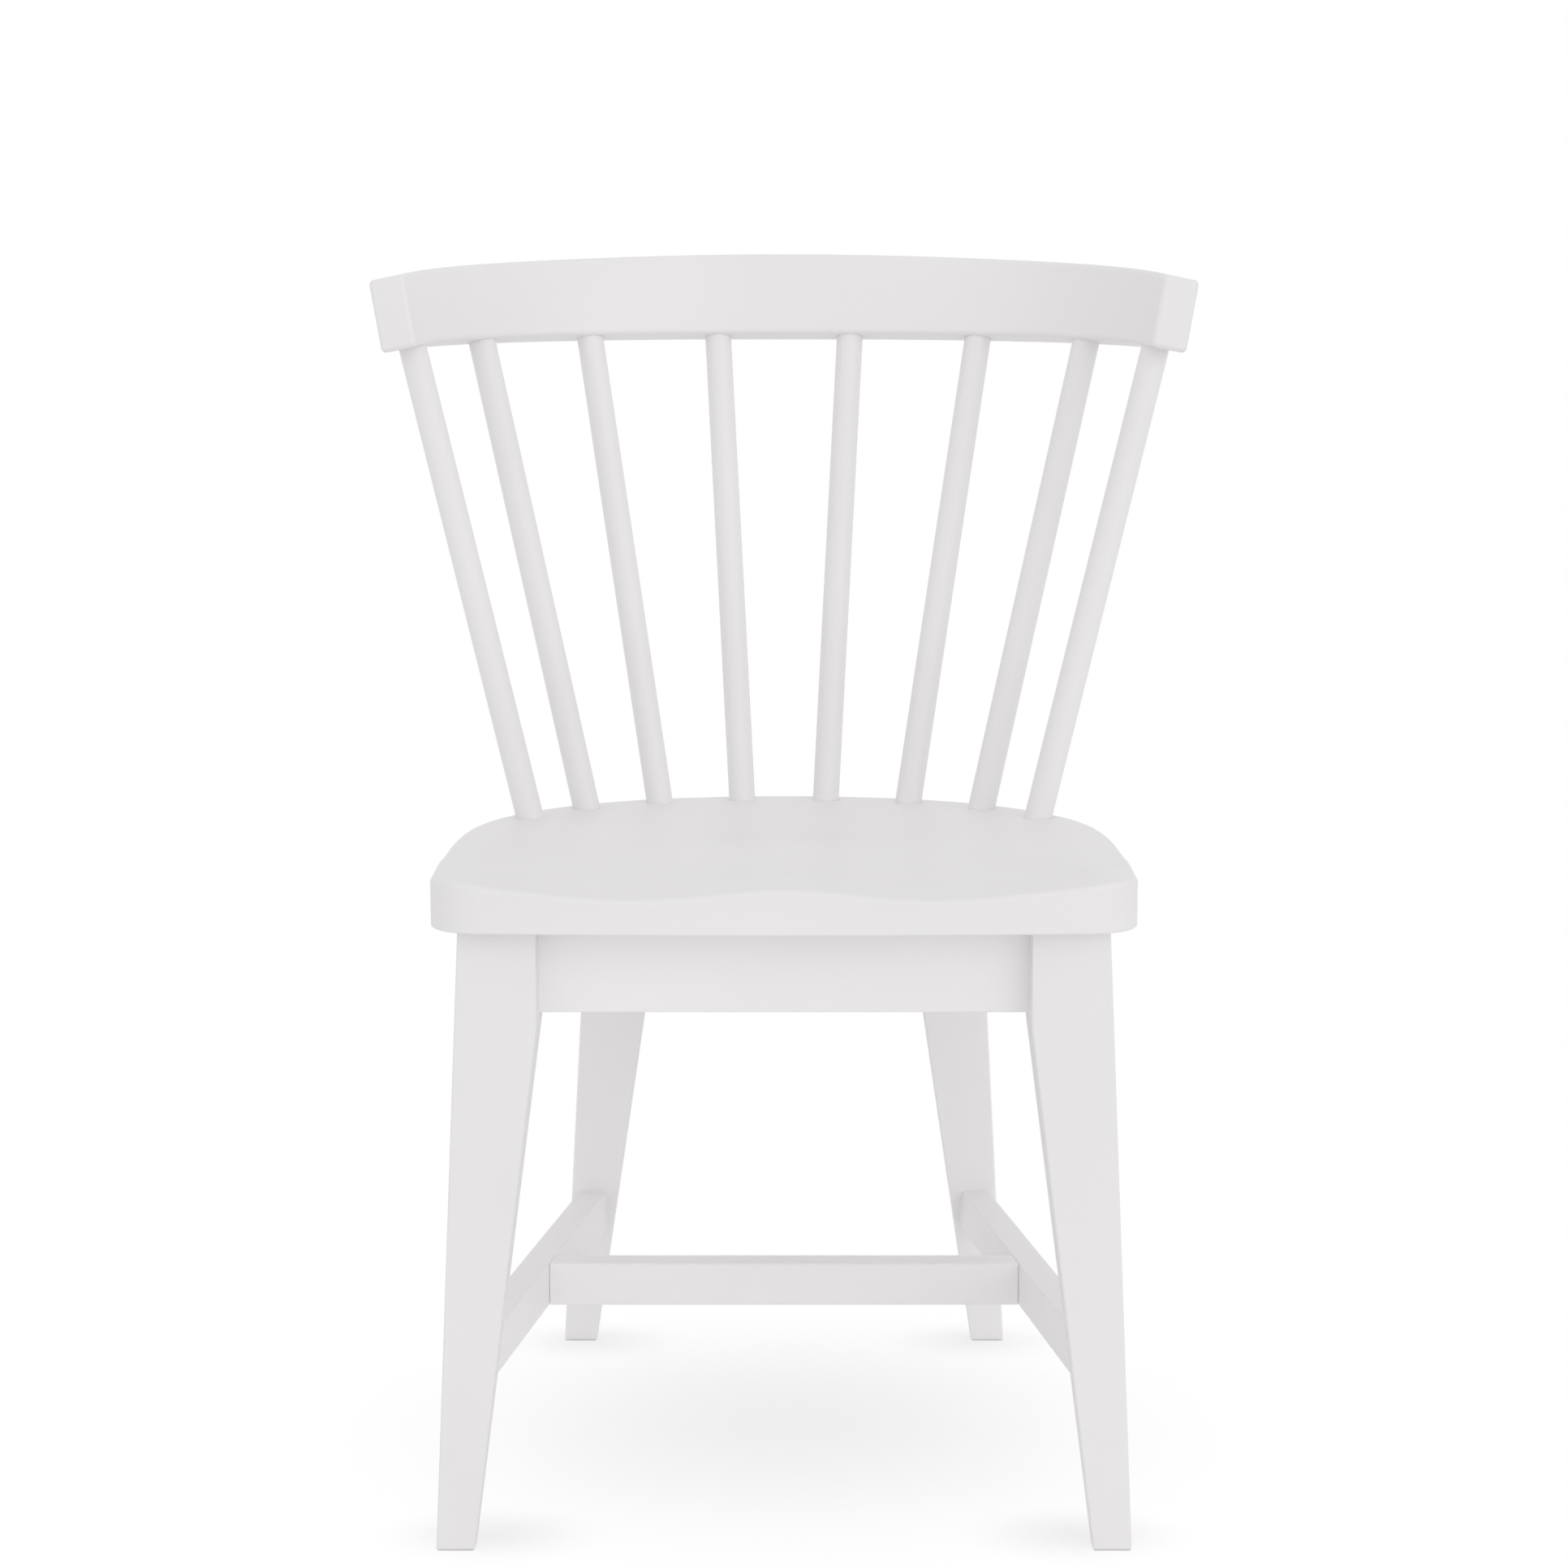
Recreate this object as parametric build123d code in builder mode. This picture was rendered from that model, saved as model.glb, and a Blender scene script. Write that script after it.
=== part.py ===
from build123d import *
import os
from math import cos, exp, radians, sin, sqrt

os.makedirs("parts", exist_ok=True)

# Side chair: saddle seat, barrel back of eight round spindles under a curved crest rail,
# four tapered legs joined by aprons under the seat and by an H of stretchers.
# Millimetres. The chair faces -Y, +X is on the right of someone who looks at its front,
# and the floor is Z = 0. The origin is the middle of the whole chair on the floor.

# Seat
seat_height = 457.0
seat_thickness = 34.2
seat_depth = 449.0
seat_overhang = 6.0
seat_bow = 8.6
seat_front_half_width = 234.8
seat_corner_radius = 37.0
seat_back_radius = 320.0
seat_back_angle = 14.0
seat_shoulder_radius = 208.5
seat_shoulder_angle = 69.0
seat_side_radius = 671.0
seat_top_rounding = 3.5
seat_bottom_rounding = 1.5

# Saddle: two leg troughs at the front edge that run back into one bowl
trough_depth = 10.6
trough_spread = 90.0
trough_width = 85.0
pommel_softness = 12.0
pommel_length = 190.0
bowl_depth = 12.5
bowl_width = 175.0
saddle_front_rim_shares = (0.80, 0.97)
saddle_back_rim_shares = (0.52, 0.86)
saddle_centre_share = 0.42
saddle_margin = 30.0
saddle_steps = 26
saddle_tolerance = 0.05

# Feet and legs: each leg is square at the top and tapers on its two inner faces.
# The posts stand in from the seat's half width, and the feet splay out from the posts.
foot_front_y = -249.3
rear_foot_setback = 13.5
leg_rounding = 1.5
foot_rounding = 0.8
taper_drop = 6.1
taper_softness = 60.0
front_foot_splay = 18.1
front_foot_width = 25.9
front_foot_depth = 17.0
front_post_inset = 17.8
front_post_width = 52.2
front_post_depth = 46.0
front_leg_rake = 20.0
rear_foot_splay = 30.2
rear_foot_width = 26.6
rear_foot_depth = 20.0
rear_post_inset = 82.0
rear_post_width = 51.4
rear_post_depth = 42.0
rear_leg_rake = 68.1

# Aprons under the seat
apron_thickness = 20.0
apron_height = 59.7
apron_rounding = 1.0
front_apron_setback = 18.0
rear_apron_setback = 18.0
apron_tenon_thickness = 10.0
apron_tenon_height = 38.0
apron_tenon_length = 16.0

# Stretchers
stretcher_top = 136.5
stretcher_height = 32.0
stretcher_thickness = 22.0
stretcher_rounding = 1.5
cross_stretcher_distance = 204.5
stretcher_tenon_thickness = 11.0
stretcher_tenon_height = 20.0
stretcher_tenon_length = 15.0
cross_tenon_length = 11.0

# Crest rail: its plan is a flat middle arc and two tighter shoulder arcs
crest_lean = 10.0
crest_thickness = 28.0
crest_height = 65.1
crest_rise = 372.5
crest_underside_drop = 17.7
crest_underside_share_power = 2.5
crest_top_drop = 28.2
crest_setback = 37.0
crest_middle_radius = 560.0
crest_middle_angle = 14.0
crest_shoulder_radius = 204.4
crest_end_angle = 81.5
crest_rounding = 3.5
crest_corner_rounding = 4.0
crest_stations = 17

# Spindles, from the middle of the back outwards
spindle_diameter = 21.0
spindle_inset = 21.0
spindle_socket_depth = 18.0
spindle_housing = 4.0
spindle_tenon_diameter = 14.0
spindle_tenon_length = 20.0
spindle_tenon_chamfer = 1.0
spindle_seat_angles = (6.5, 22.9, 43.5, 64.1)
spindle_crest_shares = (0.142, 0.420, 0.682, 0.920)

# Corner blocks and fasteners
block_reach = 58.0
block_height = 30.0
block_gap = 1.5
screw_diameter = 4.2
screw_head_diameter = 8.5
screw_head_height = 3.0
screw_head_rounding = 1.0
screw_grip = 13.0
block_screw_seat = 12.0
block_screw_share = 0.36
seat_screw_share = 0.5
seat_screw_grip = 18.0
glide_inset = 0.6
glide_corner_radius = 1.5
glide_thickness = 1.0
glide_pin_diameter = 2.5
glide_pin_length = 12.0

# Clearances and the overrun of every cut
glue_gap = 0.1
hole_gap = 0.2
shoulder_gap = 0.3
overrun = 5.0

# Places worked out from the sizes
seat_underside = seat_height - seat_thickness
seat_front_y = foot_front_y - seat_overhang
seat_back_y = seat_front_y + seat_depth
rear_foot_y = seat_back_y - rear_foot_setback
rear_foot_back_y = rear_foot_y + rear_foot_depth
front_post_outer = seat_front_half_width - front_post_inset
front_foot_outer = front_post_outer + front_foot_splay
rear_post_outer = seat_front_half_width - rear_post_inset
rear_foot_outer = rear_post_outer + rear_foot_splay
crest_middle_y = seat_back_y + crest_setback
crest_underside = seat_height + crest_rise
apron_bottom = seat_underside - apron_height
taper_height = apron_bottom - taper_drop
stretcher_bottom = stretcher_top - stretcher_height
cross_stretcher_y = foot_front_y + cross_stretcher_distance


def between(low, high, share):
    return low + (high - low) * share


def export(part, name):
    part.label = name
    export_step(part, f"parts/{name}.step")


def rod(start, direction, radius, length):
    with BuildPart() as bar:
        with BuildSketch(Plane(origin=start, z_dir=direction)):
            Circle(radius)
        extrude(amount=length)
    return bar.part


# Legs. Each leg is the overlap of its front view and its side view.
def front_leg_outer(z):
    return between(front_foot_outer, front_post_outer, z / seat_underside)


def front_leg_inner(z):
    foot = front_foot_outer - front_foot_width
    return between(foot, front_post_outer - front_post_width, min(z / taper_height, 1))


def front_leg_front(z):
    return foot_front_y + front_leg_rake * z / seat_underside


def front_leg_back(z):
    depth = between(front_foot_depth, front_post_depth, min(z / taper_height, 1))
    return front_leg_front(z) + depth


def rear_leg_outer(z):
    return between(rear_foot_outer, rear_post_outer, z / seat_underside)


def rear_leg_inner(z):
    foot = rear_foot_outer - rear_foot_width
    return between(foot, rear_post_outer - rear_post_width, min(z / taper_height, 1))


def rear_leg_back(z):
    return rear_foot_back_y - rear_leg_rake * z / seat_underside


def rear_leg_front(z):
    depth = between(rear_foot_depth, rear_post_depth, min(z / taper_height, 1))
    return rear_leg_back(z) - depth


def leg_view(plane, straight, tapered, reach):
    # One view of a leg, pushed through: a straight side, and a side that bends where its taper starts
    bend = (tapered(taper_height), taper_height)
    with BuildPart() as view:
        with BuildSketch(plane) as outline:
            with BuildLine():
                Polyline((straight(glide_thickness), glide_thickness),
                         (straight(seat_underside), seat_underside),
                         (tapered(seat_underside), seat_underside), bend,
                         (tapered(glide_thickness), glide_thickness), close=True)
            make_face()
            bend_vertex = outline.vertices().sort_by_distance(Vector(*bend))[0]
            fillet(bend_vertex, taper_softness)
        extrude(amount=reach, both=True)
    return view.part


def leg(outer, inner, straight_face, tapered_face):
    side_view = leg_view(Plane.YZ, straight_face, tapered_face, front_foot_outer + overrun)
    middle = Vector((outer(0) + inner(0)) / 2, (straight_face(0) + tapered_face(0)) / 2, glide_thickness)
    with BuildPart() as shape:
        add(leg_view(Plane.XZ, outer, inner, seat_depth + overrun))
        add(side_view, mode=Mode.INTERSECT)
        upright = shape.edges().filter_by(lambda edge: edge.bounding_box().size.Z > leg_rounding)
        fillet(upright, leg_rounding)
        sole = shape.faces().sort_by(Axis.Z)[0]
        fillet(sole.edges(), foot_rounding)
        with BuildSketch(Plane(middle)):
            Circle(glide_pin_diameter / 2 + glue_gap)
        extrude(amount=glide_pin_length + glue_gap, mode=Mode.SUBTRACT)
    return shape.part


# Bars that run from a front leg to a rear leg, for the side aprons and side stretchers
def leg_middle(outer, inner, face, z):
    return Vector((outer(z) + inner(z)) / 2, face(z), 0)


def side_prism(front, back, levels):
    # A solid as wide as the chair, between two faces given as Y over Z
    up = [(front(z), z) for z in levels]
    down = [(back(z), z) for z in reversed(levels)]
    with BuildPart() as prism:
        with BuildSketch(Plane.YZ):
            with BuildLine():
                Polyline(*up, *down, close=True)
            make_face()
        extrude(amount=front_foot_outer + overrun, both=True)
    return prism.part


def side_bar(level, height, thickness, reach):
    # The bar reaches past the two leg faces that it lies between by the given length
    start = leg_middle(front_leg_outer, front_leg_inner, front_leg_back, level)
    end = leg_middle(rear_leg_outer, rear_leg_inner, rear_leg_front, level)
    run = end - start
    heights = (level - height / 2, level + height / 2)
    ends = side_prism(lambda z: front_leg_back(z) - reach, lambda z: rear_leg_front(z) + reach, heights)
    bar_plane = Plane(origin=(start + run / 2) + Vector(0, 0, heights[0]), x_dir=run, z_dir=(0, 0, 1))
    with BuildPart() as bar:
        with BuildSketch(bar_plane):
            Rectangle(run.length * 2, thickness)
        extrude(amount=height)
        add(ends, mode=Mode.INTERSECT)
    return bar.part


def box_between(low, high):
    low, high = Vector(low), Vector(high)
    with Locations((low + high) / 2):
        Box(*(high - low))


apron_level = seat_underside - apron_height / 2
stretcher_level = stretcher_top - stretcher_height / 2
side_apron_tenons = side_bar(apron_level, apron_tenon_height, apron_tenon_thickness, apron_tenon_length)
side_stretcher_tenons = side_bar(stretcher_level, stretcher_tenon_height, stretcher_tenon_thickness,
                                 stretcher_tenon_length)

apron_start = leg_middle(front_leg_outer, front_leg_inner, front_leg_back, apron_level)
apron_end = leg_middle(rear_leg_outer, rear_leg_inner, rear_leg_front, apron_level)
apron_run = apron_end - apron_start
apron_outward = Vector(apron_run.Y, -apron_run.X, 0).normalized()


def side_apron_inner_x(y):
    half_x = apron_thickness / 2 * apron_run.length / apron_run.Y
    return apron_start.X + (y - apron_start.Y) * apron_run.X / apron_run.Y - half_x


front_apron_y = front_leg_front(apron_level) + front_apron_setback
rear_apron_y = rear_leg_back(apron_level) - rear_apron_setback - apron_thickness
front_apron_half = front_leg_inner(seat_underside)
rear_apron_half = rear_leg_inner(seat_underside)


# Corner blocks: each fills the corner behind a leg and carries two screws into the aprons
# and one up into the seat. A screw place is the seat of its head.
block_bottom = seat_underside - block_height
block_level = seat_underside - block_height / 2


def corner_block(apron_y, leg_x, leg_y, backward):
    # Backward is 1 for a front block, which reaches back from its apron, and -1 for a rear one
    corner = Vector(leg_x - block_gap, leg_y + backward * block_gap)
    end_y = corner.Y + backward * block_reach
    tip = Vector(leg_x - block_reach, apron_y)
    end = Vector(side_apron_inner_x(end_y), end_y)
    across = Vector(between(tip.X, corner.X, block_screw_share), apron_y, block_level)
    along_y = between(end.Y, corner.Y, block_screw_share)
    along = Vector(side_apron_inner_x(along_y), along_y, block_level)
    screws = [(across + Vector(0, backward * block_screw_seat, 0), Vector(0, -backward, 0)),
              (along - apron_outward * block_screw_seat, apron_outward)]
    seat_screw = between((tip + end) / 2, corner, seat_screw_share) + Vector(0, 0, block_bottom)
    with BuildPart() as block:
        with BuildSketch(Plane.XY.offset(block_bottom)):
            with BuildLine():
                Polyline((tip.X, tip.Y), (corner.X, apron_y), (corner.X, corner.Y),
                         (side_apron_inner_x(corner.Y), corner.Y), (end.X, end.Y), close=True)
            make_face()
        extrude(amount=block_height)
        add(rod(seat_screw, (0, 0, 1), screw_diameter / 2 + hole_gap, block_height), mode=Mode.SUBTRACT)
        for place, toward in screws:
            add(rod(place, toward, screw_diameter / 2 + hole_gap, block_reach), mode=Mode.SUBTRACT)
            add(rod(place, -toward, screw_head_diameter / 2 + hole_gap, block_reach), mode=Mode.SUBTRACT)
    return block.part, screws, seat_screw


def screw(place, toward, length):
    with BuildPart() as body:
        add(rod(place, toward, screw_diameter / 2, length))
        add(rod(place, -toward, screw_head_diameter / 2, screw_head_height))
        fillet(body.edges().sort_by(Axis(place, toward))[0], screw_head_rounding)
    return body.part


screw_length = block_screw_seat + screw_grip
seat_screw_length = block_height + seat_screw_grip
front_block, front_block_screws, front_seat_screw = corner_block(
    front_apron_y + apron_thickness, front_apron_half, front_leg_back(seat_underside), 1)
rear_block, rear_block_screws, rear_seat_screw = corner_block(
    rear_apron_y, rear_apron_half, rear_leg_front(seat_underside), -1)
block_screw_places = front_block_screws + rear_block_screws
right_seat_screws = [front_seat_screw, rear_seat_screw]
right_screw_bodies = [screw(place, toward, screw_length) for place, toward in block_screw_places]
right_seat_bodies = [screw(place, Vector(0, 0, 1), seat_screw_length) for place in right_seat_screws]
seat_screw_tops = [Vector(place.X, place.Y, seat_underside) for place in right_seat_screws]
seat_screw_places = seat_screw_tops + [Vector(-top.X, top.Y, top.Z) for top in seat_screw_tops]
block_screws = right_screw_bodies + [mirror(body, about=Plane.YZ) for body in right_screw_bodies]
seat_screws = right_seat_bodies + [mirror(body, about=Plane.YZ) for body in right_seat_bodies]


def pilot_holes():
    # Cut the screws' holes out of an apron, on both sides of the chair
    for place, toward in block_screw_places:
        hole = rod(place, toward, screw_diameter / 2 + glue_gap, screw_length + glue_gap)
        add(hole, mode=Mode.SUBTRACT)
        add(mirror(hole, about=Plane.YZ, mode=Mode.PRIVATE), mode=Mode.SUBTRACT)


def round_underside():
    # Round the two long lower edges of an apron
    long_edges = [edge for edge in edges().group_by(Axis.Z)[0] if edge.length > apron_height]
    fillet(long_edges, apron_rounding)


def straight_apron(half_length, y):
    tenon_half = half_length + apron_tenon_length
    tenon_y = y + (apron_thickness - apron_tenon_thickness) / 2
    tenon_low = apron_level - apron_tenon_height / 2
    tenon_high = tenon_low + apron_tenon_height
    box_between((-half_length, y, apron_bottom), (half_length, y + apron_thickness, seat_underside))
    round_underside()
    box_between((-tenon_half, tenon_y, tenon_low), (tenon_half, tenon_y + apron_tenon_thickness, tenon_high))


with BuildPart() as front_apron:
    straight_apron(front_apron_half, front_apron_y)
    pilot_holes()

with BuildPart() as rear_apron:
    straight_apron(rear_apron_half, rear_apron_y)
    pilot_holes()

with BuildPart() as side_apron:
    add(side_bar(apron_level, apron_height, apron_thickness, 0))
    round_underside()
    add(side_apron_tenons)
    pilot_holes()

with BuildPart() as front_leg:
    add(leg(front_leg_outer, front_leg_inner, front_leg_front, front_leg_back))
    add(front_apron.part, mode=Mode.SUBTRACT)
    add(side_apron_tenons, mode=Mode.SUBTRACT)
    add(side_stretcher_tenons, mode=Mode.SUBTRACT)

with BuildPart() as rear_leg:
    add(leg(rear_leg_outer, rear_leg_inner, rear_leg_back, rear_leg_front))
    add(rear_apron.part, mode=Mode.SUBTRACT)
    add(side_apron_tenons, mode=Mode.SUBTRACT)
    add(side_stretcher_tenons, mode=Mode.SUBTRACT)


# Glides: a thin pad under each foot, a little smaller than the foot, with a pin up into the leg
def glide(outer, inner, front, back):
    middle = Vector((outer(0) + inner(0)) / 2, (front(0) + back(0)) / 2, 0)
    width = outer(0) - inner(0) - 2 * glide_inset
    depth = abs(back(0) - front(0)) - 2 * glide_inset
    with BuildPart() as pad:
        with BuildSketch(Plane(middle)):
            RectangleRounded(width, depth, glide_corner_radius)
        extrude(amount=glide_thickness)
        add(rod(middle, (0, 0, 1), glide_pin_diameter / 2, glide_thickness + glide_pin_length))
    return pad.part


front_glide = glide(front_leg_outer, front_leg_inner, front_leg_front, front_leg_back)
rear_glide = glide(rear_leg_outer, rear_leg_inner, rear_leg_front, rear_leg_back)


# Stretchers: the cross stretcher is tenoned into the two side stretchers, flush with their tops,
# with a thin gap at its shoulders
stretcher_start = leg_middle(front_leg_outer, front_leg_inner, front_leg_back, stretcher_level)
stretcher_end = leg_middle(rear_leg_outer, rear_leg_inner, rear_leg_front, stretcher_level)
stretcher_run = stretcher_end - stretcher_start
stretcher_slope = stretcher_run.X / stretcher_run.Y
stretcher_half_x = stretcher_thickness / 2 * stretcher_run.length / stretcher_run.Y


def stretcher_inner_x(y):
    return stretcher_start.X + stretcher_slope * (y - stretcher_start.Y) - stretcher_half_x


def cross_bar(low, high, bottom, height, reach):
    # A bar across the chair between the inner faces of the side stretchers
    corners = [(-stretcher_inner_x(low) - reach, low), (stretcher_inner_x(low) + reach, low),
               (stretcher_inner_x(high) + reach, high), (-stretcher_inner_x(high) - reach, high)]
    with BuildPart() as bar:
        with BuildSketch(Plane.XY.offset(bottom)):
            with BuildLine():
                Polyline(*corners, close=True)
            make_face()
        extrude(amount=height)
    return bar.part


cross_tenon_y = cross_stretcher_y + (stretcher_thickness - stretcher_tenon_thickness) / 2
cross_tenon_bottom = stretcher_level - stretcher_tenon_height / 2
cross_tenons = cross_bar(cross_tenon_y, cross_tenon_y + stretcher_tenon_thickness, cross_tenon_bottom,
                         stretcher_tenon_height, cross_tenon_length)

with BuildPart() as cross_stretcher:
    add(cross_bar(cross_stretcher_y, cross_stretcher_y + stretcher_thickness, stretcher_bottom,
                  stretcher_height, -shoulder_gap))
    fillet(cross_stretcher.edges().filter_by(Axis.X), stretcher_rounding)
    add(cross_tenons)

with BuildPart() as side_stretcher:
    add(side_bar(stretcher_level, stretcher_height, stretcher_thickness, 0))
    long_edges = [e for e in side_stretcher.edges() if e.length > stretcher_run.length / 2]
    fillet(long_edges, stretcher_rounding)
    add(side_stretcher_tenons)
    add(cross_tenons, mode=Mode.SUBTRACT)


# Crest rail: rectangular sections that lean outwards, set along the plan of the rail
crest_half_length = (crest_middle_radius * radians(crest_middle_angle)
                     + crest_shoulder_radius * radians(crest_end_angle - crest_middle_angle))


def crest_underside_fall(share):
    # How far the underside has come down at a share of the half length, mostly near the ends
    return crest_underside_drop * abs(share)**crest_underside_share_power


def crest_place(share):
    # Middle of the underside at a share of the half length, and the outward direction in plan
    length = crest_half_length * abs(share)
    side = 1 if share >= 0 else -1
    middle_turn = radians(crest_middle_angle)
    turn = length / crest_middle_radius
    x = crest_middle_radius * sin(turn)
    y = crest_middle_y - crest_middle_radius * (1 - cos(turn))
    if turn > middle_turn:
        turn = middle_turn + (length - crest_middle_radius * middle_turn) / crest_shoulder_radius
        x = crest_middle_radius * sin(middle_turn) + crest_shoulder_radius * (sin(turn) - sin(middle_turn))
        y = (crest_middle_y - crest_middle_radius * (1 - cos(middle_turn))
             - crest_shoulder_radius * (cos(middle_turn) - cos(turn)))
    z = crest_underside - crest_underside_fall(share)
    return Vector(side * x, y, z), Vector(side * sin(turn), cos(turn), 0)


def crest_section(share):
    # Plane of a section with X through the thickness and Y up the lean, and the height there
    underside, outward = crest_place(share)
    lean = radians(crest_lean)
    up = outward * sin(lean) + Vector(0, 0, cos(lean))
    through = outward * cos(lean) - Vector(0, 0, sin(lean))
    drop = (crest_top_drop * share**2 - crest_underside_fall(share)) / cos(lean)
    height = crest_height - drop
    return Plane(origin=underside + up * (height / 2), x_dir=through, z_dir=through.cross(up)), height


# Spindles: straight round rods that lean out from a ring on the seat to the crest rail
def seat_ring(angle):
    # A place on the seat top at a direction from straight back, inset from the seat's outline
    turn = radians(angle)
    back_turn = radians(seat_back_angle)
    back = seat_back_radius - spindle_inset
    shoulder = seat_shoulder_radius - spindle_inset
    middle_y = seat_back_y - spindle_inset
    if turn <= back_turn:
        return Vector(back * sin(turn), middle_y - back * (1 - cos(turn)), seat_height)
    x = back * sin(back_turn) + shoulder * (sin(turn) - sin(back_turn))
    y = middle_y - back * (1 - cos(back_turn)) - shoulder * (cos(back_turn) - cos(turn))
    return Vector(x, y, seat_height)


def spindle_parts(side, seat_angle, crest_share):
    # The spindle, and the cuts that seat it in the seat and in the crest rail
    base = seat_ring(seat_angle)
    base = Vector(side * base.X, base.Y, base.Z)
    tip, outward = crest_place(side * crest_share)
    run = tip - base
    along = run.normalized()
    foot = base - along * spindle_socket_depth
    shoulder = tip + along * spindle_housing
    length = run.length + spindle_socket_depth + spindle_housing
    with BuildPart() as body:
        add(rod(foot, along, spindle_diameter / 2, length))
        add(rod(shoulder, along, spindle_tenon_diameter / 2, spindle_tenon_length))
        chamfer(body.edges().sort_by(Axis(foot, along))[-1], spindle_tenon_chamfer)
    socket_radius = spindle_diameter / 2 + glue_gap
    seat_cut = rod(foot - along * glue_gap, along, socket_radius, spindle_socket_depth + seat_thickness)
    with BuildPart() as crest_cut:
        add(rod(tip - along * spindle_diameter, along, socket_radius, spindle_diameter + spindle_housing))
        add(rod(shoulder, along, spindle_tenon_diameter / 2 + glue_gap, spindle_tenon_length + glue_gap))
    return body.part, seat_cut, crest_cut.part


spindle_rows = list(zip(spindle_seat_angles, spindle_crest_shares))
left_spindles = [spindle_parts(-1, *row) for row in reversed(spindle_rows)]
right_spindles = [spindle_parts(1, *row) for row in spindle_rows]
spindles = left_spindles + right_spindles


crest_shares = [2 * i / (crest_stations - 1) - 1 for i in range(crest_stations)]

with BuildPart() as crest_rail:
    for crest_share in crest_shares:
        section_plane, section_height = crest_section(crest_share)
        with BuildSketch(section_plane):
            Rectangle(crest_thickness, section_height)
    loft()
    # Round the four corners of the ends first, then the rims of the inner and the outer face
    fillet(crest_rail.edges().sort_by(SortBy.LENGTH)[:4], crest_corner_rounding)
    broad_faces = crest_rail.faces().sort_by(SortBy.AREA)[-2:]
    fillet(broad_faces[0].edges() + broad_faces[1].edges(), crest_rounding)
    for body, seat_cut, crest_cut in spindles:
        add(crest_cut, mode=Mode.SUBTRACT)


# Seat
def smooth_step(low, high, value):
    share = min(max((value - low) / (high - low), 0), 1)
    return share * share * (3 - 2 * share)


def saddle_level(x, y):
    # Height of the seat top: trough and pommel at the front, one bowl behind, flat at the rim
    back = smooth_step(0, pommel_length, y - seat_front_y)
    spread = between(trough_spread, 0, back)
    width = between(trough_width, bowl_width, back)
    depth = between(trough_depth, bowl_depth, back)
    side = sqrt(x * x + pommel_softness**2) - pommel_softness
    centre_y = between(seat_front_y, seat_back_y, saddle_centre_share)
    along = max(y - centre_y, 0) / (seat_back_y - centre_y)
    rim = sqrt((x / seat_front_half_width) ** 2 + along**2)
    inner = between(saddle_front_rim_shares[0], saddle_back_rim_shares[0], back)
    outer = between(saddle_front_rim_shares[1], saddle_back_rim_shares[1], back)
    hollow = exp(-(((side - spread) / width) ** 2)) * (1 - smooth_step(inner, outer, rim))
    return seat_height - depth * hollow


saddle_half = seat_front_half_width + saddle_margin
saddle_xs = [between(-saddle_half, saddle_half, i / saddle_steps) for i in range(saddle_steps + 1)]
saddle_low = seat_front_y - saddle_margin
saddle_high = seat_back_y + saddle_margin
saddle_ys = [between(saddle_low, saddle_high, i / saddle_steps) for i in range(saddle_steps + 1)]
saddle_points = [[Vector(x, y, saddle_level(x, y)) for y in saddle_ys] for x in saddle_xs]
saddle_face = Face.make_surface_from_array_of_points(saddle_points, tol=saddle_tolerance)

with BuildPart() as seat:
    with BuildSketch(Plane.XY.offset(seat_underside)) as seat_outline:
        with BuildLine():
            back_arc = JernArc((0, seat_back_y), (1, 0), seat_back_radius, -seat_back_angle)
            shoulder_arc = JernArc(back_arc @ 1, back_arc % 1, seat_shoulder_radius, -seat_shoulder_angle)
            side_arc = JernArc(shoulder_arc @ 1, shoulder_arc % 1, seat_side_radius,
                               seat_back_angle + seat_shoulder_angle - 90)
            front_bow = TangentArc((0, seat_front_y), (seat_front_half_width, seat_front_y + seat_bow),
                                   tangent=(1, 0))
            TangentArc(side_arc @ 1, front_bow @ 1, tangent=side_arc % 1)
            Line(front_bow @ 0, back_arc @ 0)
        make_face()
        fillet(seat_outline.vertices().sort_by_distance(front_bow @ 1)[0], seat_corner_radius)
        mirror(about=Plane.YZ)
    extrude(amount=seat_thickness + saddle_margin)
    split(bisect_by=saddle_face, keep=Keep.BOTTOM)
    fillet(seat.faces().sort_by(Axis.Z)[-1].edges(), seat_top_rounding)
    fillet(seat.faces().sort_by(Axis.Z)[0].edges(), seat_bottom_rounding)
    for body, seat_cut, crest_cut in spindles:
        add(seat_cut, mode=Mode.SUBTRACT)
    for place in seat_screw_places:
        add(rod(place, (0, 0, 1), screw_diameter / 2 + glue_gap, seat_screw_grip + glue_gap),
            mode=Mode.SUBTRACT)


# Write every piece. Left is the left of someone who looks at the chair's front.
def mirrored(part):
    return mirror(part, about=Plane.YZ)


def export_pair(part, name):
    export(part, f"{name}_right")
    export(mirrored(part), f"{name}_left")


export(seat.part, "seat")
export(crest_rail.part, "crest_rail")
for spindle_number, (body, seat_cut, crest_cut) in enumerate(spindles, start=1):
    export(body, f"spindle_{spindle_number}")
export_pair(front_leg.part, "front_leg")
export_pair(rear_leg.part, "rear_leg")
export(front_apron.part, "front_apron")
export(rear_apron.part, "rear_apron")
export_pair(side_apron.part, "side_apron")
export_pair(side_stretcher.part, "side_stretcher")
export(cross_stretcher.part, "cross_stretcher")
export_pair(front_block, "front_corner_block")
export_pair(rear_block, "rear_corner_block")
export(Compound(children=block_screws), "corner_block_screws")
export(Compound(children=seat_screws), "seat_screws")
export_pair(front_glide, "front_glide")
export_pair(rear_glide, "rear_glide")
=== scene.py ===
import math

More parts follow.
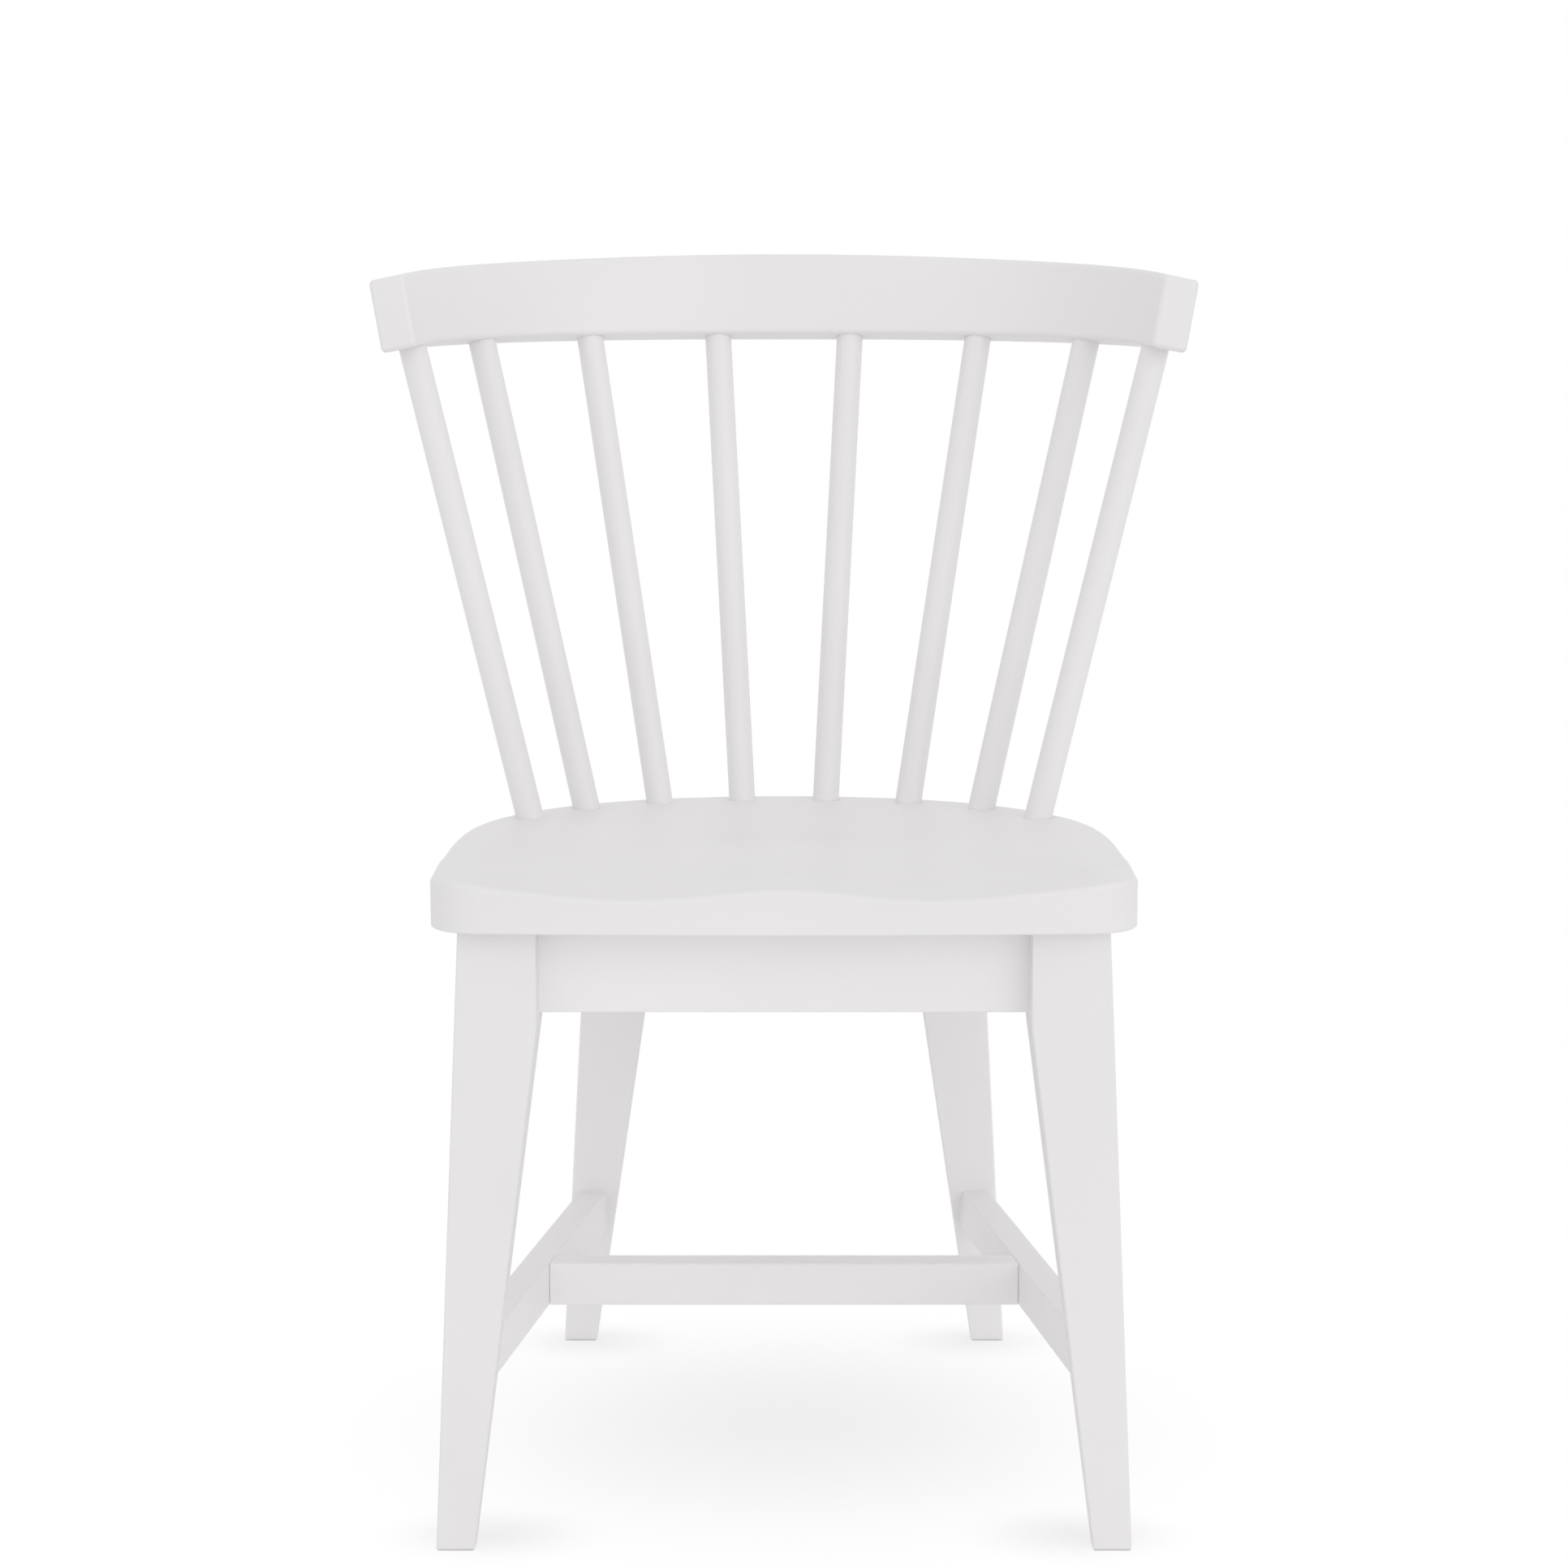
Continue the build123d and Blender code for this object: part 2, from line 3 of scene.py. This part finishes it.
import bpy
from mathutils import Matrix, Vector

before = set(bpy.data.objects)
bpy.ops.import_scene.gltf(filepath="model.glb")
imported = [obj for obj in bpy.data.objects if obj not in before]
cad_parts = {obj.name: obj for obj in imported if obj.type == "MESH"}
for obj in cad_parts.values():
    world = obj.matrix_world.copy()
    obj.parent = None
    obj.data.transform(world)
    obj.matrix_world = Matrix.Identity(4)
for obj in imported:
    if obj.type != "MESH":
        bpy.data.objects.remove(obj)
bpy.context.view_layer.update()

bl_info = {
    "name": "Painted side chair",
    "version": (1, 0, 0),
    "blender": (4, 5, 0),
    "location": "3D View > Sidebar > Side chair",
    "description": "Finishes a spindle-back side chair in satin white paint and sets it on a pale floor",
    "category": "Object",
}

# The chair's pieces that share a finish
SPINDLES = [f"spindle_{number}" for number in range(1, 9)]
FRONT_LEGS = ["front_leg_left", "front_leg_right"]
REAR_LEGS = ["rear_leg_left", "rear_leg_right"]
ACROSS_APRONS = ["front_apron", "rear_apron"]
SIDE_APRONS = ["side_apron_left", "side_apron_right"]
SIDE_STRETCHERS = ["side_stretcher_left", "side_stretcher_right"]
CORNER_BLOCKS = ["front_corner_block_left", "front_corner_block_right",
                 "rear_corner_block_left", "rear_corner_block_right"]
SCREWS = ["corner_block_screws", "seat_screws"]
GLIDES = ["front_glide_left", "front_glide_right", "rear_glide_left", "rear_glide_right"]

# How far a noise is stretched along each axis: the smaller the number, the longer its streaks.
# The grain runs across the chair, from front to back, or up.
GRAIN_ACROSS = (0.12, 1.0, 1.0)
GRAIN_BACK = (1.0, 0.12, 1.0)
GRAIN_UP = (1.0, 1.0, 0.12)
GRAIN_CREST = (0.3, 0.3, 1.0)
GRAIN_BLOCK = (1.0, 1.0, 0.1)
STROKE_STRETCH = 0.35
SCUFF_STRETCH = (1.0, 0.2, 1.0)

# Noise scales, in features per metre
WANDER_SCALE = 5.0
STROKE_SCALE = 30.0
PAINTED_PORE_SCALE = 60.0
RING_SCALE = 40.0
BARE_PORE_SCALE = 220.0
CRYSTAL_SCALE = 900.0
DULL_PATCH_SCALE = 160.0
SCUFF_SCALE = 400.0
MOTTLE_SCALE = 3.0

# Bump depths in metres, and the paint's index of refraction
BARE_PORE_DEPTH = 0.0001
CRYSTAL_DEPTH = 0.00002
SCUFF_DEPTH = 0.00005
PAINT_IOR = 1.46

# Colours of the finishes that have no setting
WHITE = (1.0, 1.0, 1.0, 1.0)
WOOD_DARK = (0.60, 0.40, 0.22, 1.0)
WOOD_LIGHT = (0.74, 0.55, 0.35, 1.0)
ZINC_DARK = (0.55, 0.55, 0.56, 1.0)
ZINC_LIGHT = (0.72, 0.72, 0.71, 1.0)
ZINC_DULL = (0.40, 0.39, 0.38, 1.0)
NYLON_DARK = (0.66, 0.65, 0.65, 1.0)
NYLON_LIGHT = (0.74, 0.73, 0.72, 1.0)

# Places among a node's outputs
OBJECT_OUTPUT = 3
TRUE_NORMAL_OUTPUT = 1
BACKFACING_OUTPUT = 6
VALUE_OUTPUT = 1
COLOUR_OUTPUT = 2

# The directions in which the two wide lamps stand from the chair, and the low lamp's place, in metres
RIGHT_LAMP_SIDE = Vector((0.7, -1.0, 0.3))
LEFT_LAMP_SIDE = Vector((-1.0, -0.8, 0.6))
LAMP_DISTANCE = 3.0
LAMP_SPREAD = math.radians(50.0)
LOW_LAMP_PLACE = Vector((0.0, -1.5, 0.05))
LOW_LAMP_AIM = Vector((0.0, 0.0, 0.25))
LOW_LAMP_WIDTH = 0.8
LOW_LAMP_HEIGHT = 0.1
SENSOR_WIDTH = 36.0


# Settings that a user would change
class ChairPaint(bpy.types.PropertyGroup):
    colour: bpy.props.FloatVectorProperty(
        name="Paint colour", description="Colour of the white paint", subtype="COLOR",
        size=3, min=0.0, max=1.0, default=(0.885, 0.868, 0.876))
    thin_colour: bpy.props.FloatVectorProperty(
        name="Thin paint colour", description="Colour where the paint is thin on an edge",
        subtype="COLOR", size=3, min=0.0, max=1.0, default=(0.855, 0.825, 0.81))
    unevenness: bpy.props.FloatProperty(
        name="Unevenness", description="How far the paint's brightness wanders over a piece",
        subtype="FACTOR", min=0.0, max=0.2, default=0.025)
    roughness: bpy.props.FloatProperty(
        name="Roughness", description="Roughness of the satin sheen",
        subtype="FACTOR", min=0.0, max=1.0, default=0.5)
    # Painted light and shade: the paint colour is scaled per piece. It is a little darker on the front and
    # top pieces, which the lamps light most, and paler on the aprons, rear legs and stretchers, where shade
    # falls under the seat.
    outer_painted_shade: bpy.props.FloatProperty(
        name="Outer tint", description="Brightness of the paint on the pieces at the front and top",
        min=0.8, max=1.05, default=0.97)
    apron_painted_light: bpy.props.FloatProperty(
        name="Apron tint", description="Brightness of the paint on the aprons under the seat",
        min=0.8, max=1.05, default=1.01)
    inner_painted_light: bpy.props.FloatProperty(
        name="Inner tint", description="Brightness of the paint on the rear legs and stretchers",
        min=0.8, max=1.05, default=1.045)
    edge_width: bpy.props.FloatProperty(
        name="Edge width", description="Width of the band along an edge where the paint is thin",
        unit="LENGTH", subtype="DISTANCE", min=0.0, max=0.01, default=0.0012)
    stipple_size: bpy.props.FloatProperty(
        name="Stipple size", description="Size of the paint's fine orange-peel bumps",
        unit="LENGTH", subtype="DISTANCE", min=0.0001, max=0.01, default=0.0014)
    stipple_depth: bpy.props.FloatProperty(
        name="Stipple depth", description="Depth of the paint's fine bumps",
        unit="LENGTH", subtype="DISTANCE", min=0.0, max=0.001, default=0.00002)
    grain_depth: bpy.props.FloatProperty(
        name="Grain depth", description="How far the wood's grain shows through the paint",
        unit="LENGTH", subtype="DISTANCE", min=0.0, max=0.001, default=0.00003)


class ChairStage(bpy.types.PropertyGroup):
    floor_colour: bpy.props.FloatVectorProperty(
        name="Floor colour", description="Colour of the floor", subtype="COLOR",
        size=3, min=0.0, max=1.0, default=(0.93, 0.93, 0.93))
    floor_size: bpy.props.FloatProperty(
        name="Floor size", description="Side of the square floor",
        unit="LENGTH", subtype="DISTANCE", min=2.0, max=60.0, default=24.0)
    floor_white: bpy.props.FloatProperty(
        name="Floor white", description="Share of plain white that the camera sees under the chair",
        subtype="FACTOR", min=0.0, max=1.0, default=0.58)
    floor_white_away: bpy.props.FloatProperty(
        name="Floor white away", description="Share of plain white that the camera sees past the shadow",
        subtype="FACTOR", min=0.0, max=1.0, default=1.0)
    shadow_middle: bpy.props.FloatVectorProperty(
        name="Shadow middle", description="Middle of the shadow seen under the chair",
        subtype="TRANSLATION", unit="LENGTH", size=2, default=(0.0, -0.01))
    shadow_reach: bpy.props.FloatVectorProperty(
        name="Shadow reach", description="How far that shadow is seen, to the side and to the front",
        subtype="TRANSLATION", unit="LENGTH", size=2, min=0.01, max=3.0, default=(0.37, 0.31))
    front_foot_shadow: bpy.props.FloatVectorProperty(
        name="Front foot shadow", description="Middle of the shadow seen beside a front foot",
        subtype="TRANSLATION", unit="LENGTH", size=2, default=(0.2, -0.222))
    rear_foot_shadow: bpy.props.FloatVectorProperty(
        name="Rear foot shadow", description="Middle of the shadow seen beside a rear foot",
        subtype="TRANSLATION", unit="LENGTH", size=2, default=(0.16, 0.18))
    foot_shadow_reach: bpy.props.FloatVectorProperty(
        name="Foot shadow reach", description="How far such a shadow is seen, to the side and to the front",
        subtype="TRANSLATION", unit="LENGTH", size=2, min=0.01, max=3.0, default=(0.09, 0.055))
    room_light: bpy.props.FloatProperty(
        name="Room light", description="Strength of the even light from all round",
        min=0.0, max=2.0, default=0.80)
    right_light: bpy.props.FloatProperty(
        name="Right light", description="Strength of the wide soft lamp at the front right",
        min=0.0, max=10.0, default=0.414)
    left_light: bpy.props.FloatProperty(
        name="Left light", description="Strength of the wide soft lamp at the front left",
        min=0.0, max=10.0, default=0.093)
    low_power: bpy.props.FloatProperty(
        name="Low power", description="Power of the soft lamp near the floor in front",
        unit="POWER", min=0.0, max=100.0, default=0.36)
    camera_height: bpy.props.FloatProperty(
        name="Camera height", description="Height of the camera over the floor",
        unit="LENGTH", subtype="DISTANCE", min=0.0, max=5.0, default=0.74075)
    camera_distance: bpy.props.FloatProperty(
        name="Camera distance", description="From the camera to the middle of the chair",
        unit="LENGTH", subtype="DISTANCE", min=0.5, max=10.0, default=1.9803)
    camera_pitch: bpy.props.FloatProperty(
        name="Camera pitch", description="How far the camera looks down",
        unit="ROTATION", subtype="ANGLE", min=0.0, max=1.5, default=math.radians(7.185))
    lens: bpy.props.FloatProperty(
        name="Lens", description="Focal length for a 36 mm wide picture",
        unit="CAMERA", min=10.0, max=300.0, default=61.491)


# Shader maths as Python sums
class Amount:
    """An output socket that takes part in sums: each operator adds its Math node."""

    def __init__(self, finish, socket):
        self.finish = finish
        self.socket = socket

    def math(self, operation, first, second):
        return self.finish.node("ShaderNodeMath", {"operation": operation}, {0: first, 1: second})

    def __add__(self, other):
        return self.math("ADD", self, other)

    def __radd__(self, other):
        return self.math("ADD", other, self)

    def __sub__(self, other):
        return self.math("SUBTRACT", self, other)

    def __rsub__(self, other):
        return self.math("SUBTRACT", other, self)

    def __mul__(self, other):
        return self.math("MULTIPLY", self, other)

    def __rmul__(self, other):
        return self.math("MULTIPLY", other, self)


class Finish:
    """The node tree of a material or a world, started empty."""

    def __init__(self, tree):
        self.tree = tree
        self.tree.nodes.clear()

    def node(self, kind, settings=None, inputs=None, output=0):
        made = self.tree.nodes.new(kind)
        for name, value in (settings or {}).items():
            setattr(made, name, value)
        for name, value in (inputs or {}).items():
            if isinstance(value, Amount):
                self.tree.links.new(value.socket, made.inputs[name])
            else:
                made.inputs[name].default_value = value
        return Amount(self, made.outputs[output]) if len(made.outputs) else made

    def noise(self, place, scale, detail, roughness=0.5):
        return self.node("ShaderNodeTexNoise", {"noise_dimensions": "3D"},
                         {"Vector": place, "Scale": scale, "Detail": detail, "Roughness": roughness})

    def vector(self, operation, *values, output=0):
        return self.node("ShaderNodeVectorMath", {"operation": operation}, dict(enumerate(values)), output)

    def stretched(self, place, scales):
        return self.node("ShaderNodeMapping", {}, {"Vector": place, "Scale": scales})

    def ramp(self, value, low, high):
        return self.node("ShaderNodeMapRange", {"interpolation_type": "SMOOTHSTEP"},
                         {"Value": value, "From Min": low, "From Max": high})

    def bump(self, height, depth, strength, **below):
        return self.node("ShaderNodeBump", {}, {
            "Height": height, "Distance": depth, "Strength": strength, **below})

    def mixed(self, share, first, second):
        return self.node("ShaderNodeMix", {"data_type": "RGBA", "clamp_factor": True},
                         {0: share, 6: first, 7: second}, output=COLOUR_OUTPUT)


def material(name):
    made = bpy.data.materials.new(name)
    made.use_nodes = True
    return made, Finish(made.node_tree)


def give(names, finish):
    """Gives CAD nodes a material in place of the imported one."""
    for name in names:
        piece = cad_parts[name]
        piece.data.materials.clear()
        piece.data.materials.append(finish)


def shade(colour, factor):
    return tuple(part * factor for part in colour) + (1.0,)


def satin_paint(name, grain, painted_light):
    """White satin paint, with the grain of the wood below just showing along one axis."""
    paint = bpy.context.scene.chair_paint
    made, finish = material(name)
    place = finish.node("ShaderNodeTexCoord", output=OBJECT_OUTPUT)
    along = finish.stretched(place, grain)

    wander = finish.noise(place, WANDER_SCALE, 2.0)
    brushed = finish.stretched(place, tuple(share * STROKE_STRETCH for share in grain))
    strokes = finish.noise(brushed, STROKE_SCALE, 3.0)
    pores = finish.noise(along, PAINTED_PORE_SCALE, 4.0, 0.6)
    stipple = finish.noise(place, 1.0 / paint.stipple_size, 2.0)

    soft_normal = finish.node("ShaderNodeBevel", {"samples": 6}, {"Radius": paint.edge_width})
    true_normal = finish.node("ShaderNodeNewGeometry", output=TRUE_NORMAL_OUTPUT)
    facing = finish.vector("DOT_PRODUCT", soft_normal, true_normal, output=VALUE_OUTPUT)
    edge = finish.ramp(facing, 0.995, 0.90)
    rubbed = edge * finish.ramp(strokes, 0.42, 0.66)

    drift = (wander - 0.5) * 0.7 + (strokes - 0.5) * 0.3
    level = finish.ramp(drift, -0.35, 0.35)
    # Painted light and shade: both paint colours are scaled by the piece's painted light factor.
    body = finish.mixed(level, shade(paint.colour, painted_light * (1 - paint.unevenness)),
                        shade(paint.colour, painted_light * (1 + paint.unevenness)))
    colour = finish.mixed(rubbed * 0.55, body, shade(paint.thin_colour, painted_light))

    roughness = paint.roughness + (strokes - 0.5) * 0.10 + (stipple - 0.5) * 0.06 - edge * 0.05
    fine = finish.bump(stipple, paint.stipple_depth, 1.0)
    coarse = finish.bump(pores, paint.grain_depth, 0.6, Normal=fine)
    surface = finish.node("ShaderNodeBsdfPrincipled", {}, {
        "Base Color": colour, "Roughness": roughness, "Normal": coarse, "IOR": PAINT_IOR})
    finish.node("ShaderNodeOutputMaterial", {}, {"Surface": surface})
    return made


def bare_wood(name, grain):
    """Planed pale hardwood for the blocks that nobody paints."""
    made, finish = material(name)
    place = finish.node("ShaderNodeTexCoord", output=OBJECT_OUTPUT)
    along = finish.stretched(place, grain)
    rings = finish.noise(along, RING_SCALE, 5.0, 0.62)
    pores = finish.noise(along, BARE_PORE_SCALE, 3.0, 0.7)
    tone = finish.ramp(rings + (pores - 0.5) * 0.25, 0.34, 0.68)
    colour = finish.mixed(tone, WOOD_DARK, WOOD_LIGHT)
    bump = finish.bump(pores, BARE_PORE_DEPTH, 0.5)
    surface = finish.node("ShaderNodeBsdfPrincipled", {}, {
        "Base Color": colour, "Roughness": 0.62 + (rings - 0.5) * 0.15, "Normal": bump})
    finish.node("ShaderNodeOutputMaterial", {}, {"Surface": surface})
    return made


def zinc_steel(name):
    """Bright zinc plating with a faint crystal pattern, dulled in patches."""
    made, finish = material(name)
    place = finish.node("ShaderNodeTexCoord", output=OBJECT_OUTPUT)
    crystals = finish.noise(place, CRYSTAL_SCALE, 3.0)
    dulled = finish.ramp(finish.noise(place, DULL_PATCH_SCALE, 3.0), 0.5, 0.7)
    plating = finish.mixed(finish.ramp(crystals, 0.35, 0.65), ZINC_DARK, ZINC_LIGHT)
    colour = finish.mixed(dulled * 0.5, plating, ZINC_DULL)
    bump = finish.bump(crystals, CRYSTAL_DEPTH, 0.5)
    surface = finish.node("ShaderNodeBsdfPrincipled", {}, {
        "Base Color": colour, "Metallic": 1.0, "Normal": bump,
        "Roughness": 0.30 + (crystals - 0.5) * 0.20 + dulled * 0.25})
    finish.node("ShaderNodeOutputMaterial", {}, {"Surface": surface})
    return made


def glide_nylon(name):
    """Pale grey nylon, scuffed where it slides."""
    made, finish = material(name)
    place = finish.node("ShaderNodeTexCoord", output=OBJECT_OUTPUT)
    scuffs = finish.noise(finish.stretched(place, SCUFF_STRETCH), SCUFF_SCALE, 4.0)
    colour = finish.mixed(finish.ramp(scuffs, 0.45, 0.75), NYLON_DARK, NYLON_LIGHT)
    bump = finish.bump(scuffs, SCUFF_DEPTH, 0.6)
    surface = finish.node("ShaderNodeBsdfPrincipled", {}, {
        "Base Color": colour, "Roughness": 0.5 + (scuffs - 0.5) * 0.3, "Normal": bump})
    finish.node("ShaderNodeOutputMaterial", {}, {"Surface": surface})
    return made


class CHAIR_OT_paint_seat(bpy.types.Operator):
    """Paint the saddle seat"""
    bl_idname = "chair.paint_seat"
    bl_label = "Paint seat"

    def execute(self, context):
        # Painted shade: the seat takes the darker factor of the front and top pieces.
        painted_light = context.scene.chair_paint.outer_painted_shade
        give(["seat"], satin_paint("seat_paint", GRAIN_ACROSS, painted_light))
        return {"FINISHED"}


class CHAIR_OT_paint_crest_rail(bpy.types.Operator):
    """Paint the curved crest rail"""
    bl_idname = "chair.paint_crest_rail"
    bl_label = "Paint crest rail"

    def execute(self, context):
        # Painted shade: the crest rail takes the darker factor of the front and top pieces.
        painted_light = context.scene.chair_paint.outer_painted_shade
        give(["crest_rail"], satin_paint("crest_paint", GRAIN_CREST, painted_light))
        return {"FINISHED"}


class CHAIR_OT_paint_spindles(bpy.types.Operator):
    """Paint the eight round spindles"""
    bl_idname = "chair.paint_spindles"
    bl_label = "Paint spindles"

    def execute(self, context):
        # Painted shade: the spindles take the darker factor of the front and top pieces.
        painted_light = context.scene.chair_paint.outer_painted_shade
        give(SPINDLES, satin_paint("spindle_paint", GRAIN_UP, painted_light))
        return {"FINISHED"}


class CHAIR_OT_paint_legs(bpy.types.Operator):
    """Paint the four tapered legs"""
    bl_idname = "chair.paint_legs"
    bl_label = "Paint legs"

    def execute(self, context):
        paint = context.scene.chair_paint
        # Painted light and shade: the front legs are painted darker, and the rear legs paler because they
        # stand in shade behind them.
        give(FRONT_LEGS, satin_paint("front_leg_paint", GRAIN_UP, paint.outer_painted_shade))
        give(REAR_LEGS, satin_paint("rear_leg_paint", GRAIN_UP, paint.inner_painted_light))
        return {"FINISHED"}


class CHAIR_OT_paint_rails(bpy.types.Operator):
    """Paint the aprons and the stretchers"""
    bl_idname = "chair.paint_rails"
    bl_label = "Paint aprons and stretchers"

    def execute(self, context):
        paint = context.scene.chair_paint
        # Painted light: the aprons and stretchers under the seat are painted paler where shade falls on
        # them.
        give(ACROSS_APRONS, satin_paint("across_apron_paint", GRAIN_ACROSS, paint.apron_painted_light))
        give(SIDE_APRONS, satin_paint("side_apron_paint", GRAIN_BACK, paint.apron_painted_light))
        give(["cross_stretcher"], satin_paint("cross_stretcher_paint", GRAIN_ACROSS, paint.inner_painted_light))
        give(SIDE_STRETCHERS, satin_paint("side_stretcher_paint", GRAIN_BACK, paint.inner_painted_light))
        return {"FINISHED"}


class CHAIR_OT_finish_blocks(bpy.types.Operator):
    """Give the corner blocks, screws and glides their own finishes"""
    bl_idname = "chair.finish_blocks"
    bl_label = "Finish blocks and hardware"

    def execute(self, context):
        give(CORNER_BLOCKS, bare_wood("block_wood", GRAIN_BLOCK))
        give(SCREWS, zinc_steel("screw_zinc"))
        give(GLIDES, glide_nylon("glide_nylon"))
        return {"FINISHED"}


class CHAIR_OT_set_stage(bpy.types.Operator):
    """Lay the pale floor, hang the soft lamps and set the camera"""
    bl_idname = "chair.set_stage"
    bl_label = "Set stage"

    def execute(self, context):
        stage = context.scene.chair_stage
        bpy.ops.object.select_all(action="DESELECT")
        bpy.ops.mesh.primitive_plane_add(size=stage.floor_size, location=(0.0, 0.0, 0.0))
        floor = context.object
        floor.name = "floor"
        floor.data.materials.append(self.floor_paint(stage))
        self.light_room(context.scene, stage)
        self.hang_lamp("right_lamp", RIGHT_LAMP_SIDE, stage.right_light)
        self.hang_lamp("left_lamp", LEFT_LAMP_SIDE, stage.left_light)
        self.set_low_lamp(stage.low_power)
        self.set_camera(context, stage)
        context.scene.view_settings.view_transform = "Standard"
        return {"FINISHED"}

    def seen(self, finish):
        """1 for a ray that shows the floor or the room itself, and 0 for one that lights the chair."""
        path = finish.tree.nodes.new("ShaderNodeLightPath")
        rays = [Amount(finish, path.outputs[name])
                for name in ("Is Camera Ray", "Is Glossy Ray", "Is Transmission Ray")]
        return rays[0] + rays[1] + rays[2]

    def past(self, finish, place, middle, reach):
        """0 at a place on the floor and at its mirror image, rising softly to 1 on an ellipse."""
        aside = finish.vector("MULTIPLY", place, (1.0, 0.0, 0.0))
        ahead = finish.vector("MULTIPLY", place, (0.0, 1.0, 0.0))
        folded = finish.vector("ADD", finish.vector("ABSOLUTE", aside), ahead)
        offset = finish.vector("SUBTRACT", folded, (*middle, 0.0))
        scaled = finish.vector("DIVIDE", offset, (*reach, 1.0))
        distance = finish.vector("LENGTH", scaled, output=VALUE_OUTPUT)
        return finish.ramp(distance, 0.0, 1.0)

    def floor_paint(self, stage):
        made, finish = material("floor_paint")
        place = finish.node("ShaderNodeTexCoord", output=OBJECT_OUTPUT)
        mottle = finish.ramp(finish.noise(place, MOTTLE_SCALE, 2.0), 0.2, 0.8)
        colour = finish.mixed(mottle, shade(stage.floor_colour, 0.995), shade(stage.floor_colour, 1.0))
        ground = finish.node("ShaderNodeBsdfDiffuse", {}, {"Color": colour})
        white = finish.node("ShaderNodeEmission", {}, {"Color": WHITE, "Strength": 1.0})
        # Painted light: past soft ellipses under the seat and beside the feet, the camera sees the floor
        # lifted to plain white, so the shadow the lamps cast shows only inside them.
        away = (self.past(finish, place, stage.shadow_middle, stage.shadow_reach)
                * self.past(finish, place, stage.front_foot_shadow, stage.foot_shadow_reach)
                * self.past(finish, place, stage.rear_foot_shadow, stage.foot_shadow_reach))
        share = stage.floor_white + away * (stage.floor_white_away - stage.floor_white)
        upper = finish.node("ShaderNodeMixShader", {}, {
            0: self.seen(finish) * share, 1: ground, 2: white})
        from_below = finish.node("ShaderNodeNewGeometry", output=BACKFACING_OUTPUT)
        clear = finish.node("ShaderNodeBsdfTransparent")
        both = finish.node("ShaderNodeMixShader", {}, {0: from_below, 1: upper, 2: clear})
        finish.node("ShaderNodeOutputMaterial", {}, {"Surface": both})
        return made

    def light_room(self, scene, stage):
        room = bpy.data.worlds.new("room")
        room.use_nodes = True
        finish = Finish(room.node_tree)
        light = finish.node("ShaderNodeBackground", {}, {
            "Color": WHITE, "Strength": stage.room_light})
        white = finish.node("ShaderNodeBackground", {}, {"Color": WHITE, "Strength": 1.0})
        both = finish.node("ShaderNodeMixShader", {}, {0: self.seen(finish), 1: light, 2: white})
        finish.node("ShaderNodeOutputWorld", {}, {"Surface": both})
        scene.world = room

    def hang_lamp(self, name, toward, strength):
        bpy.ops.object.light_add(type="SUN", location=toward * LAMP_DISTANCE,
                                 rotation=toward.to_track_quat("Z", "Y").to_euler())
        lamp = bpy.context.object
        lamp.name = name
        lamp.data.angle = LAMP_SPREAD
        lamp.data.energy = strength

    def set_low_lamp(self, power):
        turn = (LOW_LAMP_PLACE - LOW_LAMP_AIM).to_track_quat("Z", "Y").to_euler()
        bpy.ops.object.light_add(type="AREA", location=LOW_LAMP_PLACE, rotation=turn)
        lamp = bpy.context.object
        lamp.name = "low_lamp"
        lamp.data.shape = "RECTANGLE"
        lamp.data.size = LOW_LAMP_WIDTH
        lamp.data.size_y = LOW_LAMP_HEIGHT
        lamp.data.energy = power

    def set_camera(self, context, stage):
        bpy.ops.object.camera_add(
            location=(0.0, -stage.camera_distance, stage.camera_height),
            rotation=(math.pi / 2 - stage.camera_pitch, 0.0, 0.0))
        camera = context.object
        camera.data.sensor_width = SENSOR_WIDTH
        camera.data.lens = stage.lens
        context.scene.camera = camera


class CHAIR_PT_side_panel(bpy.types.Panel):
    """The chair's operators and settings"""
    bl_idname = "CHAIR_PT_side_panel"
    bl_label = "Side chair"
    bl_space_type = "VIEW_3D"
    bl_region_type = "UI"
    bl_category = "Side chair"

    def draw(self, context):
        for operator in OPERATORS:
            self.layout.operator(operator.bl_idname)
        for settings in (context.scene.chair_paint, context.scene.chair_stage):
            box = self.layout.box()
            for name in settings.__annotations__:
                box.prop(settings, name)


OPERATORS = (
    CHAIR_OT_paint_seat, CHAIR_OT_paint_crest_rail, CHAIR_OT_paint_spindles, CHAIR_OT_paint_legs,
    CHAIR_OT_paint_rails, CHAIR_OT_finish_blocks, CHAIR_OT_set_stage,
)
SETTINGS = (ChairPaint, ChairStage)


def register():
    for cls in SETTINGS + OPERATORS + (CHAIR_PT_side_panel,):
        bpy.utils.register_class(cls)
    bpy.types.Scene.chair_paint = bpy.props.PointerProperty(type=ChairPaint)
    bpy.types.Scene.chair_stage = bpy.props.PointerProperty(type=ChairStage)


def unregister():
    del bpy.types.Scene.chair_stage
    del bpy.types.Scene.chair_paint
    for cls in reversed(SETTINGS + OPERATORS + (CHAIR_PT_side_panel,)):
        bpy.utils.unregister_class(cls)


def main():
    register()
    bpy.ops.chair.paint_seat()
    bpy.ops.chair.paint_crest_rail()
    bpy.ops.chair.paint_spindles()
    bpy.ops.chair.paint_legs()
    bpy.ops.chair.paint_rails()
    bpy.ops.chair.finish_blocks()
    bpy.ops.chair.set_stage()


if __name__ == "__main__":
    main()
